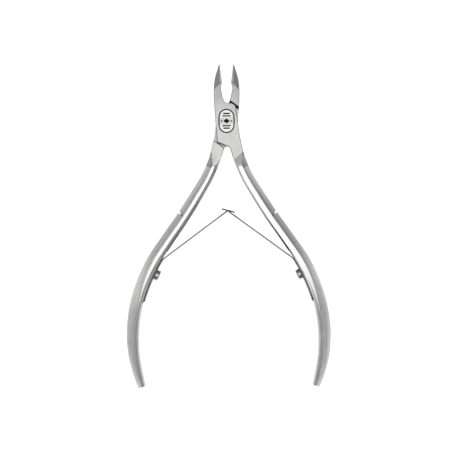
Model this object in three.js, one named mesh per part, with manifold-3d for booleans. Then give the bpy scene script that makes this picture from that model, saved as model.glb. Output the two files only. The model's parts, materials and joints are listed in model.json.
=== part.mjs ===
// Cuticle nipper: two forged halves crossed in a lap joint on one screw, held open by a pair of
// interlocked leaf springs. Millimetres, +Z up. The tool lies flat with its jaws towards +Y.
//
// Every piece is drawn about the pivot, on the joint's mid-plane, with the jaws open. The front half
// (left jaw, upper lap, right handle) is drawn once; the back half is the same forging turned half
// round the tool's long axis, as on the real tool. At the end the whole tool is set down, so that the
// origin is under its middle and its underside lies at z = 0.

import * as THREE from "three";
import { mergeVertices } from "three/addons/utils/BufferGeometryUtils.js";
import { ParametricGeometry } from "three/addons/geometries/ParametricGeometry.js";
import Module from "manifold-3d";

const wasm = await Module();
wasm.setup();

// ---------------------------------------------------------------- driving dimensions

// Head
const JOINT_THICKNESS = 6.4; // both laps together
const LAP_GAP = 0.1; // running clearance between the laps
const OPEN_ANGLE = 13; // between the two cutting edges at rest, in degrees
const TIP_Y = 20.3; // the points, from the pivot
const HEEL_Y = 13.9; // rear end of the cutting edges
const HEAD_HALF_WIDTH = 4.45; // at the root of the jaws
const WAIST_HALF_WIDTH = 3.95; // beside the pivot
const EDGE_CLEARANCE = 0.02; // left between the cutting edges when they close
const TIP_HALF_THICKNESS = 0.45;
const TIP_WIDTH = 0.35;
const EDGE_BEVEL_SETBACK = 0.95; // how far the top of the inner face lies behind the cutting edge
const FACET_DROP_Y = 2.9; // the ground facet starts this much lower at the jaw's outer side

// Lap channel: a straight band milled across each half, in which the other half's lap turns
const LAP_ANGLE = 53.5; // of the band's walls, as the angle of their normal, in degrees
const LAP_UP = 6.75; // pivot to the wall under the jaw
const LAP_DOWN = 8.15; // pivot to the wall above the handle
const SHOULDER_GAP = 0.4; // least width of the slits between a lap and the walls, at rest
const SHOULDER_STOP_GAP = 0.1; // and with the jaws closed

// Pivot screw, put in from the back
const PIVOT_SHANK_R = 1.5;
const PIVOT_THREAD_R = 1.2;
const PIVOT_HEAD_R = 2.4;
const PIVOT_HEAD_CONE = 0.9; // height of the countersunk cone
const PIVOT_CLEARANCE = 0.06;
const PIVOT_COVER = 0.8; // front lap left over the screw's end
const HEAD_LAND = 0.2; // straight rim above a screw head's cone
const SCREW_SLOT_WIDTH = 0.5;
const SCREW_SLOT_DEPTH = 0.45;

// Handle: its centre x and y, its width across and its thickness, from the joint to the end
const HANDLE_STATIONS = [
  { x: 2.7, y: -6.8, width: 3.9, thickness: 6.1 },
  { x: 3.8, y: -11.2, width: 4.0, thickness: 6.1 },
  { x: 6.45, y: -18, width: 4.15, thickness: 6.0 },
  { x: 10.8, y: -25.5, width: 4.42, thickness: 5.8 },
  { x: 15.6, y: -33, width: 4.6, thickness: 5.7 },
  { x: 20.85, y: -40.5, width: 4.65, thickness: 5.8 },
  { x: 25.9, y: -48, width: 4.8, thickness: 6.1 },
  { x: 29.95, y: -56.4, width: 4.7, thickness: 6.4 },
  { x: 32.45, y: -64.6, width: 4.5, thickness: 6.4 },
  { x: 33.5, y: -73, width: 4.36, thickness: 6.2 },
  { x: 33.15, y: -81.3, width: 3.95, thickness: 5.6 },
  { x: 31.65, y: -88.5, width: 3.3, thickness: 4.9 },
  { x: 30.5, y: -92.1, width: 2.7, thickness: 4.3 },
];
// Section corners as shares of half the width (outer side positive) and half the thickness. The
// third and the last bound the flat ridge, which narrows to a crease on the lower part of the grip.
const GRIP_SECTION = [
  [1, -0.32], [1, 0.32], [0.04, 1], [-0.5, 1],
  [-1, 0.62], [-1, -0.62], [-0.5, -1], [0.04, -1],
];
const RIDGE_CORNERS = [2, 7];
const RIDGE_CREASE = -0.32; // where those two corners end up
const RIDGE_NARROWS_Y = -50; // from here
const RIDGE_CREASE_Y = -63; // to here
// Towards the joint the bar flares until it is thicker than the joint. The joint's flat faces cut
// the flare off, and so run out on the bar as a tongue.
const FLARE_FROM_Y = -10.7; // the flare is full here
const FLARE_END_Y = -15.6; // and gone here
const FLARE_HEIGHT = 14;
const HANDLE_STEPS = 80;

// Nick across the outer side of each handle
const NICK_T = 0.325; // its place, as a share of the handle's centreline
const NICK_DEPTH = 2.6;
const NICK_WIDTH = 0.85; // half the mouth, at the handle's surface
const NICK_LEAN = 0.85; // how far the bottom lies towards the handle's end

// Leaf springs
const LEAF_THICKNESS = 0.45;
const LEAF_WIDTH = 4.4; // at the foot
const LEAF_TIP_WIDTH = 3.2; // where the two cross
const SEAT_DEPTH = 0.15; // of the seat ground for the foot in the handle's inner side
const SEAT_GAP = 0.05; // foot to seat
const SEAT_ABOVE = 0.03; // share of the handle's centreline by which the seat runs past the bend
const SEAT_BELOW = 0.006; // and past the foot's end
const FLEX_GAP = 0.3; // foot to arm, at the bend
const BEND_T = 0.482; // places on the handle's centreline
const SPRING_SCREW_T = 0.538;
const FOOT_END_T = 0.639;
const CROSSING_Y = -30.9; // where the leaves cross on the tool's axis
const SLOT_WIDTH = 1.8;
const SLOT_BEFORE = 2.6; // slot lengths before and past the crossing
const SLOT_PAST = 1.7;
const TONGUE_SIDE_GAP = 0.3; // tongue to each side of the slot
const TONGUE_BEFORE = 3.4; // neck length before the crossing
const TONGUE_HEAD_WIDTH = 2.5;
const TONGUE_HEAD_LENGTH = 0.6;
const HOOK_LENGTH = 2.4; // bent end of the slotted leaf
const HOOK_ANGLE = -18.4;
const TONGUE_END_LENGTH = 1.9; // bent end of the tongue
const TONGUE_END_ANGLE = 164.5;

// Spring screws
const SPRING_HEAD_R = 1.85;
const SPRING_HEAD_HEIGHT = 1.45;
const SPRING_HEAD_ROUND = 0.35;
const SPRING_SHANK_R = 0.9;
const SPRING_SHANK_DEPTH = 2.4; // into the handle
const SCREW_CLEARANCE = 0.04;

const ROUND_SEGMENTS = 40;
const FAR = 60; // longer than the tool in any cut

// ---------------------------------------------------------------- materials

const SATIN_STEEL = new THREE.MeshStandardMaterial({ color: 0xc4c4c4, roughness: 0.38, metalness: 1 });
const SPRING_STEEL = new THREE.MeshStandardMaterial({ color: 0x9c9c9c, roughness: 0.3, metalness: 1 });
const SCREW_STEEL = new THREE.MeshStandardMaterial({ color: 0xa8a8a8, roughness: 0.22, metalness: 1 });

// ---------------------------------------------------------------- solids

const degrees = THREE.MathUtils.degToRad;
const direction = (angle) => new THREE.Vector3(Math.cos(degrees(angle)), Math.sin(degrees(angle)), 0);

/** A closed three.js geometry as a manifold-3d solid. */
function solid(geometry) {
  const bare = geometry.clone();
  bare.deleteAttribute("normal");
  bare.deleteAttribute("uv");
  const merged = mergeVertices(bare, 1e-4);
  const mesh = new wasm.Mesh({
    numProp: 3,
    vertProperties: new Float32Array(merged.attributes.position.array),
    triVerts: new Uint32Array(merged.index.array),
  });
  return new wasm.Manifold(mesh);
}

/** A manifold-3d solid as a named mesh. */
function piece(name, manifold, material) {
  const made = manifold.getMesh();
  const geometry = new THREE.BufferGeometry();
  geometry.setAttribute("position", new THREE.BufferAttribute(new Float32Array(made.vertProperties), 3));
  geometry.setIndex(new THREE.BufferAttribute(new Uint32Array(made.triVerts), 1));
  geometry.computeVertexNormals();
  const mesh = new THREE.Mesh(geometry, material);
  mesh.name = name;
  return mesh;
}

/** A plan outline as a plate from z = low to z = high. */
function plate(shape, low, high, curveSegments = 4) {
  const options = { depth: high - low, bevelEnabled: false, curveSegments };
  const geometry = new THREE.ExtrudeGeometry(shape, options);
  return solid(geometry.translate(0, 0, low));
}

/** Everything on the positive side of a plane, as a large block. */
function beyond(point, normal) {
  const towards = new THREE.Quaternion().setFromUnitVectors(
    new THREE.Vector3(0, 0, 1),
    normal.clone().normalize(),
  );
  const block = new THREE.BoxGeometry(2 * FAR, 2 * FAR, FAR).translate(0, 0, FAR / 2);
  return solid(block.applyQuaternion(towards).translate(point.x, point.y, point.z));
}

/** A turned piece: radius and height pairs about the z axis, carried by a matrix. */
function turned(profile, matrix = new THREE.Matrix4()) {
  const points = profile.map(([r, z]) => new THREE.Vector2(r, z));
  const geometry = new THREE.LatheGeometry(points, ROUND_SEGMENTS);
  geometry.rotateX(Math.PI / 2); // the lathe turns about y
  return solid(geometry.applyMatrix4(matrix));
}

/** Outline of a strip of even thickness along a path. */
function bandShape(path, thickness) {
  const normals = path.map((p, i) => {
    const before = path[Math.max(i - 1, 0)];
    const after = path[Math.min(i + 1, path.length - 1)];
    const along = after.clone().sub(before).normalize();
    return new THREE.Vector3(-along.y, along.x, 0);
  });
  const side = (sign) => path.map((p, i) => p.clone().addScaledVector(normals[i], (sign * thickness) / 2));
  return new THREE.Shape([...side(1), ...side(-1).reverse()].map((p) => new THREE.Vector2(p.x, p.y)));
}

// ---------------------------------------------------------------- the half's plan

/** Distance of the cutting edge from the tool's axis at a height y, at rest. */
const edgeX = (y) => y * Math.tan(degrees(OPEN_ANGLE / 2)) + EDGE_CLEARANCE;

/** Outline of the front half's head: left jaw, lap, and the root of the right handle. */
function headOutline() {
  const v = (x, y) => new THREE.Vector2(x, y);
  const outline = new THREE.Shape();
  outline.moveTo(-edgeX(TIP_Y), TIP_Y);
  outline.lineTo(-edgeX(TIP_Y) - TIP_WIDTH, TIP_Y - 0.25);
  // outer side of the jaw, then the free side of the lap
  outline.splineThru([
    v(-3.3, 18), v(-4.05, 15.2), v(-HEAD_HALF_WIDTH, 12), v(-HEAD_HALF_WIDTH, 9), v(-4.3, 5.5),
    v(-4.05, 2.4), v(-WAIST_HALF_WIDTH, 0), v(-3.72, -2.6), v(-3.5, -4.9), v(-3.35, -7),
  ]);
  // lower edge of the lap and the crotch between the handles
  outline.splineThru([
    v(-3, -7.25), v(-2, -7.6), v(-1, -8.05), v(-0.2, -8.4), v(0.5, -8.6), v(1.05, -9.1),
    v(1.4, -10), v(1.68, -11.2),
  ]);
  outline.lineTo(5.8, -10.9);
  // side of the lap above the handle, up to the other jaw's shoulder
  outline.splineThru([
    v(5.3, -9), v(4.85, -7), v(4.42, -4.7), v(4.1, -2.6), v(3.85, -0.6), v(3.55, 1.6), v(3.25, 3.6),
    v(3, 5.5),
  ]);
  outline.lineTo(2.85, 5.75);
  // along the shoulder, round the crotch between the jaws, and up the relief behind the heel
  outline.splineThru([
    v(2.1, 6.28), v(1.5, 6.55), v(0.8, 6.55), v(0, 6.5), v(-0.7, 6.9), v(-1.2, 7.8), v(-1.6, 9.3),
    v(-1.9, 11), v(-1.98, 12.3), v(-1.8, 13.3),
  ]);
  outline.lineTo(-edgeX(HEEL_Y), HEEL_Y);
  outline.closePath();
  return outline;
}

/** The head before the lap is cut: outline at full thickness, jaw ground to its facets. */
function head() {
  const half = JOINT_THICKNESS / 2;
  let made = plate(headOutline(), -half, half);
  for (const side of [1, -1]) {
    // long facet that thins the jaw towards its point
    const inner = new THREE.Vector3(-edgeX(HEEL_Y), HEEL_Y, side * half);
    const outer = new THREE.Vector3(-HEAD_HALF_WIDTH, HEEL_Y - FACET_DROP_Y, side * half);
    const tip = new THREE.Vector3(-edgeX(TIP_Y), TIP_Y, side * TIP_HALF_THICKNESS);
    const facet = new THREE.Plane().setFromCoplanarPoints(inner, outer, tip).normal;
    made = made.subtract(beyond(inner, facet.multiplyScalar(Math.sign(facet.z) * side)));
    // inner face, leaning back from the cutting edge on the mid-plane
    const edge = new THREE.Vector3(-edgeX(HEEL_Y), HEEL_Y, 0);
    const along = new THREE.Vector3(-Math.sin(degrees(OPEN_ANGLE / 2)), Math.cos(degrees(OPEN_ANGLE / 2)), 0);
    const back = new THREE.Vector3(-EDGE_BEVEL_SETBACK, 0, side * half);
    const bevel = new THREE.Vector3().crossVectors(along, back);
    const cut = beyond(edge, bevel.multiplyScalar(Math.sign(bevel.x)));
    made = made.subtract(cut.intersect(beyond(new THREE.Vector3(0, HEEL_Y, 0), new THREE.Vector3(0, 1, 0))));
  }
  return made;
}

// ---------------------------------------------------------------- the handle

const centreline = new THREE.CatmullRomCurve3(HANDLE_STATIONS.map((s) => new THREE.Vector3(s.x, s.y, 0)));
const handleSizes = new THREE.CatmullRomCurve3(
  HANDLE_STATIONS.map((s) => new THREE.Vector3(s.width, s.thickness, 0)),
);

/** Centre, outward direction, half width and half thickness of the right handle at t. */
function handleAt(t) {
  const centre = centreline.getPoint(t);
  const along = centreline.getTangent(t);
  const outward = new THREE.Vector3(-along.y, along.x, 0);
  const size = handleSizes.getPoint(t);
  const flared = THREE.MathUtils.clamp((centre.y - FLARE_END_Y) / (FLARE_FROM_Y - FLARE_END_Y), 0, 1);
  const thickness = size.y + FLARE_HEIGHT * flared ** 2;
  return { centre, outward, halfWidth: size.x / 2, halfThickness: thickness / 2 };
}

/** A point beside the handle's inner face, moved inwards by a distance. */
function besideHandle(t, distance) {
  const { centre, outward, halfWidth } = handleAt(t);
  return centre.clone().addScaledVector(outward, -(halfWidth + distance));
}

/** A row of such points, from one place on the handle's centreline to another. */
function alongHandle(from, to, distance) {
  const shares = Array.from({ length: 9 }, (_, i) => i / 8);
  return shares.map((share) => besideHandle(THREE.MathUtils.lerp(from, to, share), distance));
}

/** The eight-sided bar of the right handle. */
function handleBar() {
  const corners = GRIP_SECTION.length;
  const surface = (around, share, target) => {
    const row = Math.round(share * HANDLE_STEPS);
    const t = THREE.MathUtils.clamp((row - 1) / (HANDLE_STEPS - 2), 0, 1);
    const { centre, outward, halfWidth, halfThickness } = handleAt(t);
    const atEnd = row === 0 || row === HANDLE_STEPS; // both ends close on the centreline
    const corner = Math.round(around * corners) % corners;
    const [drawn, up] = GRIP_SECTION[corner];
    const wide = THREE.MathUtils.smoothstep(centre.y, RIDGE_CREASE_Y, RIDGE_NARROWS_Y);
    const across = RIDGE_CORNERS.includes(corner) ? THREE.MathUtils.lerp(RIDGE_CREASE, drawn, wide) : drawn;
    target.copy(centre);
    if (atEnd) return;
    target.addScaledVector(outward, across * halfWidth);
    target.z = up * halfThickness;
  };
  const bar = solid(new ParametricGeometry(surface, corners, HANDLE_STEPS));
  return bar.volume() < 0 ? solid(flipped(new ParametricGeometry(surface, corners, HANDLE_STEPS))) : bar;
}

/** The same geometry with its faces turned round. */
function flipped(geometry) {
  const index = geometry.index.array;
  for (let i = 0; i < index.length; i += 3) [index[i + 1], index[i + 2]] = [index[i + 2], index[i + 1]];
  return geometry;
}

/** Shallow seat across the handle's inner side, for the foot of the spring. */
function seat() {
  const cutter = SEAT_DEPTH + LEAF_THICKNESS; // its thickness
  const path = alongHandle(BEND_T - SEAT_ABOVE, FOOT_END_T + SEAT_BELOW, cutter / 2 - SEAT_DEPTH);
  return plate(bandShape(path, cutter), -JOINT_THICKNESS, JOINT_THICKNESS);
}

/** Wedge that cuts the nick into the handle's outer side. */
function nick() {
  const { centre, outward, halfWidth } = handleAt(NICK_T);
  const along = new THREE.Vector3(outward.y, -outward.x, 0);
  const mouth = centre.clone().addScaledVector(outward, halfWidth + NICK_DEPTH);
  const bottom = centre.clone().addScaledVector(outward, halfWidth - NICK_DEPTH);
  const corners = [
    mouth.clone().addScaledVector(along, -2 * NICK_WIDTH - NICK_LEAN),
    mouth.clone().addScaledVector(along, 2 * NICK_WIDTH - NICK_LEAN),
    bottom.clone().addScaledVector(along, NICK_LEAN),
  ];
  const shape = new THREE.Shape(corners.map((p) => new THREE.Vector2(p.x, p.y)));
  return plate(shape, -JOINT_THICKNESS, JOINT_THICKNESS);
}

// ---------------------------------------------------------------- screws

/** Places a screw's own frame, head up, on the inner side of the right handle. */
function springScrewFrame() {
  const under = besideHandle(SPRING_SCREW_T, SEAT_GAP + LEAF_THICKNESS + SCREW_CLEARANCE - SEAT_DEPTH);
  const inward = handleAt(SPRING_SCREW_T).outward.negate();
  const turn = new THREE.Quaternion().setFromUnitVectors(new THREE.Vector3(0, 0, 1), inward);
  return new THREE.Matrix4().compose(under, turn, new THREE.Vector3(1, 1, 1));
}

/** Slot across the top of a screw head at height z. */
function screwSlot(z, matrix = new THREE.Matrix4()) {
  const slot = new THREE.BoxGeometry(FAR / 4, SCREW_SLOT_WIDTH, 2 * SCREW_SLOT_DEPTH).translate(0, 0, z);
  return solid(slot.applyMatrix4(matrix));
}

/** Cheese-head screw that clamps a spring's foot to the handle. */
function springScrew(frame) {
  const h = SPRING_HEAD_HEIGHT;
  const r = SPRING_HEAD_R;
  const c = SPRING_HEAD_ROUND;
  const reach = LEAF_THICKNESS + SEAT_GAP + SPRING_SHANK_DEPTH;
  const body = turned(
    [[0, -reach], [SPRING_SHANK_R, -reach], [SPRING_SHANK_R, 0], [r - 0.15, 0], [r, 0.15], [r, h - c],
      [r - 0.3 * c, h - 0.3 * c], [r - c, h], [0, h]],
    frame,
  );
  return body.subtract(screwSlot(h, frame));
}

/** Blind hole in the handle, and the hole through the spring's foot, for that screw. */
function springScrewHole(frame) {
  const r = SPRING_SHANK_R + SCREW_CLEARANCE;
  const reach = LEAF_THICKNESS + SEAT_GAP + SPRING_SHANK_DEPTH + 4 * SCREW_CLEARANCE;
  return turned([[0, -reach], [r, -reach], [r, LEAF_THICKNESS], [0, LEAF_THICKNESS]], frame);
}

/** Radius and height pairs of the pivot screw, grown by a clearance, head at the tool's back. */
function pivotProfile(grow, headTop) {
  const back = -JOINT_THICKNESS / 2;
  const end = JOINT_THICKNESS / 2 - PIVOT_COVER;
  const cone = back + HEAD_LAND + PIVOT_HEAD_CONE;
  return [
    [0, headTop], [PIVOT_HEAD_R + grow, headTop], [PIVOT_HEAD_R + grow, back + HEAD_LAND + grow],
    [PIVOT_SHANK_R + grow, cone + grow], [PIVOT_SHANK_R + grow, LAP_GAP / 2 + grow],
    [PIVOT_THREAD_R + grow, LAP_GAP / 2 + grow], [PIVOT_THREAD_R + grow, end + grow], [0, end + grow],
  ];
}

function pivotScrew() {
  const screw = turned(pivotProfile(0, -JOINT_THICKNESS / 2 + 0.02));
  const slot = screwSlot(-JOINT_THICKNESS / 2, new THREE.Matrix4().makeRotationZ(degrees(35)));
  return screw.subtract(slot);
}

// ---------------------------------------------------------------- the halves

/** What the lap must leave free for the other half's walls, from the open to the closed position. */
function wallRoom() {
  const right = beyond(new THREE.Vector3(), new THREE.Vector3(1, 0, 0));
  const left = beyond(new THREE.Vector3(), new THREE.Vector3(-1, 0, 0));
  const room = [
    [0, SHOULDER_GAP],
    [OPEN_ANGLE, SHOULDER_STOP_GAP],
  ].flatMap(([swing, gap]) => {
    const up = direction(LAP_ANGLE + swing);
    const down = direction(LAP_ANGLE + swing + 180);
    return [
      beyond(up.clone().multiplyScalar(LAP_UP - gap), up).intersect(right),
      beyond(down.clone().multiplyScalar(LAP_DOWN - gap), down).intersect(left),
    ];
  });
  return room.reduce((all, one) => all.add(one));
}

/** One forging, drawn as the front half. */
function forging() {
  const channel = new THREE.BoxGeometry(FAR, LAP_UP + LAP_DOWN, FAR);
  channel.translate(0, (LAP_UP - LAP_DOWN) / 2, LAP_GAP / 2 - FAR / 2);
  channel.rotateZ(degrees(90 - LAP_ANGLE));
  return head()
    .subtract(wallRoom())
    .add(handleBar())
    .subtract(solid(channel))
    .subtract(nick())
    .subtract(seat())
    .subtract(springScrewHole(springScrewFrame()))
    .intersect(solid(new THREE.BoxGeometry(4 * FAR, 4 * FAR, JOINT_THICKNESS)));
}

/** Half a turn about the tool's long axis, which carries a front piece to the back. */
const turnOver = (manifold) => manifold.rotate([0, 180, 0]);

// ---------------------------------------------------------------- leaf springs

const footOffset = SEAT_GAP + LEAF_THICKNESS / 2 - SEAT_DEPTH;
const bendPoint = besideHandle(BEND_T, footOffset);
const crossing = new THREE.Vector3(0, CROSSING_Y, 0);
const armAlong = crossing.clone().sub(bendPoint).normalize();
const armAngle = THREE.MathUtils.radToDeg(Math.atan2(armAlong.y, armAlong.x));

/** Foot of the right spring, which lies along the handle under its screw. */
function springFoot() {
  const path = alongHandle(BEND_T, FOOT_END_T, footOffset);
  const strip = plate(bandShape(path, LEAF_THICKNESS), -LEAF_WIDTH / 2, LEAF_WIDTH / 2);
  return strip.subtract(springScrewHole(springScrewFrame()));
}

/** Side view of a leaf: half widths at distances along the arm, as a prism across it. */
function leafBlank(halfWidths) {
  const upper = halfWidths.map(([s, w]) => new THREE.Vector2(s, w));
  const lower = halfWidths.map(([s, w]) => new THREE.Vector2(s, -w)).reverse();
  const prism = new THREE.ExtrudeGeometry(new THREE.Shape([...upper, ...lower]), {
    depth: FAR / 2,
    bevelEnabled: false,
  });
  prism.translate(0, 0, -FAR / 4).rotateX(Math.PI / 2); // now s along x, width along z
  prism.rotateZ(degrees(armAngle)).translate(bendPoint.x, bendPoint.y, 0);
  return solid(prism);
}

/** Path of the right arm from the bend to its bent end past the crossing. */
function armPath(endAngle, endLength) {
  const start = bendPoint.clone().addScaledVector(armAlong, FLEX_GAP);
  const knee = crossing.clone().addScaledVector(armAlong, LEAF_THICKNESS / 2);
  return [start, knee, knee.clone().addScaledVector(direction(endAngle), endLength)];
}

const tongueWidth = SLOT_WIDTH - 2 * TONGUE_SIDE_GAP;

/** Right arm: tapers to a narrow tongue whose cross-head keeps it in the other leaf's slot. */
function tongueArm() {
  const reach = crossing.distanceTo(bendPoint);
  const end = reach + LEAF_THICKNESS / 2 + TONGUE_END_LENGTH;
  const headFrom = end - 2 * TONGUE_HEAD_LENGTH;
  const path = armPath(TONGUE_END_ANGLE, TONGUE_END_LENGTH);
  const blank = leafBlank([
    [0, LEAF_WIDTH / 2],
    [reach - TONGUE_BEFORE - 1, LEAF_TIP_WIDTH / 2],
    [reach - TONGUE_BEFORE, tongueWidth / 2],
    [headFrom, tongueWidth / 2],
    [headFrom + 0.15, TONGUE_HEAD_WIDTH / 2],
    [end + 1, TONGUE_HEAD_WIDTH / 2],
  ]);
  return plate(bandShape(path, LEAF_THICKNESS), -LEAF_WIDTH, LEAF_WIDTH).intersect(blank);
}

/** The slotted arm, drawn on the right: the slot runs past the crossing into the bent end. */
function slottedArm() {
  const reach = crossing.distanceTo(bendPoint);
  const path = armPath(180 - HOOK_ANGLE, HOOK_LENGTH);
  const blank = leafBlank([
    [0, LEAF_WIDTH / 2],
    [reach - SLOT_BEFORE, LEAF_TIP_WIDTH / 2],
    [reach + 2 * HOOK_LENGTH, LEAF_TIP_WIDTH / 2],
  ]);
  const slot = leafBlank([
    [reach - SLOT_BEFORE, SLOT_WIDTH / 2],
    [reach + SLOT_PAST, SLOT_WIDTH / 2],
  ]);
  const strip = plate(bandShape(path, LEAF_THICKNESS), -LEAF_WIDTH, LEAF_WIDTH);
  return strip.intersect(blank).subtract(slot);
}

// ---------------------------------------------------------------- assembly

const frame = springScrewFrame();
const turningHole = turned(pivotProfile(PIVOT_CLEARANCE, -JOINT_THICKNESS));
const frontHalf = forging().subtract(turningHole);
const backHalf = turnOver(forging()).subtract(turningHole);

const nipper = new THREE.Group();
nipper.add(
  piece("front_half", frontHalf, SATIN_STEEL),
  piece("back_half", backHalf, SATIN_STEEL),
  piece("pivot_screw", pivotScrew(), SCREW_STEEL),
  piece("right_spring_foot", springFoot(), SPRING_STEEL),
  piece("right_spring_arm", tongueArm(), SPRING_STEEL),
  piece("right_spring_screw", springScrew(frame), SCREW_STEEL),
  piece("left_spring_foot", turnOver(springFoot()), SPRING_STEEL),
  piece("left_spring_arm", turnOver(slottedArm()), SPRING_STEEL),
  piece("left_spring_screw", turnOver(springScrew(frame)), SCREW_STEEL),
);

// Set the tool down: the origin is under the middle of its length and width.
const box = new THREE.Box3().setFromObject(nipper);
const middle = box.getCenter(new THREE.Vector3());
nipper.position.set(-middle.x, -middle.y, -box.min.z);

const root = new THREE.Group();
root.add(nipper);

export default root;
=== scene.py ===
"""Looks of a cuticle nipper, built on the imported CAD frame.

The tool lies flat, jaws towards +Y. Every piece is modelled about the pivot, on the joint's
mid-plane, and is then set down at the pivot's place in the frame. Lengths are in metres.
"""

import json
import logging
import math
from dataclasses import dataclass, field
from enum import Enum
from typing import Sequence

import bpy
from mathutils import Matrix, Vector

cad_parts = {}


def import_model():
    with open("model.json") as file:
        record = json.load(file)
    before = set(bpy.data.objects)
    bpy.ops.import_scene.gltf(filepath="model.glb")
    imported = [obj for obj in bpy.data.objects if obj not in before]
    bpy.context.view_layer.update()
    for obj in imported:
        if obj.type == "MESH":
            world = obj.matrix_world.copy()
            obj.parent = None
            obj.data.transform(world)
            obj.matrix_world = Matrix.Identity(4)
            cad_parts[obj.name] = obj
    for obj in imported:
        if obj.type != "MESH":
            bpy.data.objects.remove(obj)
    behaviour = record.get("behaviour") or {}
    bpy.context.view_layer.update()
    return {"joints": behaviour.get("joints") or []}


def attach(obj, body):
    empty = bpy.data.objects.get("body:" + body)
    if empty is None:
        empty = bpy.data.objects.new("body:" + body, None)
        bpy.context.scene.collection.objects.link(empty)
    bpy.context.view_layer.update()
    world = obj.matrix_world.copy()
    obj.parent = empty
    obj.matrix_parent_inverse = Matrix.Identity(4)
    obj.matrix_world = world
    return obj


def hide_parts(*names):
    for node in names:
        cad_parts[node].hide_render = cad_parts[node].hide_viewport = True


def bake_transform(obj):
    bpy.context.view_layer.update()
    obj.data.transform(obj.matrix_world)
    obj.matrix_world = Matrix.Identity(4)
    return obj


MM = 0.001
TINY = 1e-7  # points closer than this are one point
FAR = 60 * MM  # longer than the tool in any cut
LOG = logging.getLogger("nipper")

GRAIN_ATTRIBUTE = "grain"
MIX_FROM, MIX_TO, MIX_RESULT = 6, 7, 2  # a mix node's colour sockets
ORIGIN = Vector((0.0, 0.0, 0.0))

Piece = bpy.types.Object
Point = tuple[float, float]
Outline = list[tuple[float, float, str]]  # x, y and kind of point, AUTO or VECTOR


# ------------------------------------------------------------------ finishes


def fill(tree: bpy.types.NodeTree, node: bpy.types.Node, inputs: dict) -> None:
    """Fill a node's inputs.

    Args:
        tree: The tree that holds the node.
        node: The node.
        inputs: Socket names or numbers, each with a value or another node's output.
    """
    for socket, value in inputs.items():
        if isinstance(value, bpy.types.NodeSocket):
            tree.links.new(value, node.inputs[socket])
        else:
            node.inputs[socket].default_value = value


def add_node(tree: bpy.types.NodeTree, kind: str, inputs: dict, **settings: object) -> bpy.types.Node:
    """Add a node with its settings and inputs.

    Args:
        tree: The tree that gets the node.
        kind: The node's type.
        inputs: Socket names or numbers, each with a value or another node's output.
        **settings: The node's own settings.

    Returns:
        The node.
    """
    node = tree.nodes.new(kind)
    for name, value in settings.items():
        setattr(node, name, value)
    fill(tree, node, inputs)
    return node


class Grain(Enum):
    """How the abrasive ran: turn about +Z in degrees, then streaks per metre along and across."""

    DIAGONAL = (38.0, 260.0, 3600.0)
    CROSSWISE = (-62.0, 300.0, 3000.0)
    ALONG_GRIP = (0.0, 70.0, 1700.0)
    ALONG_STRIP = (37.0, 200.0, 5200.0)
    TURNED = (0.0, 2400.0, 2400.0)


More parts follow.
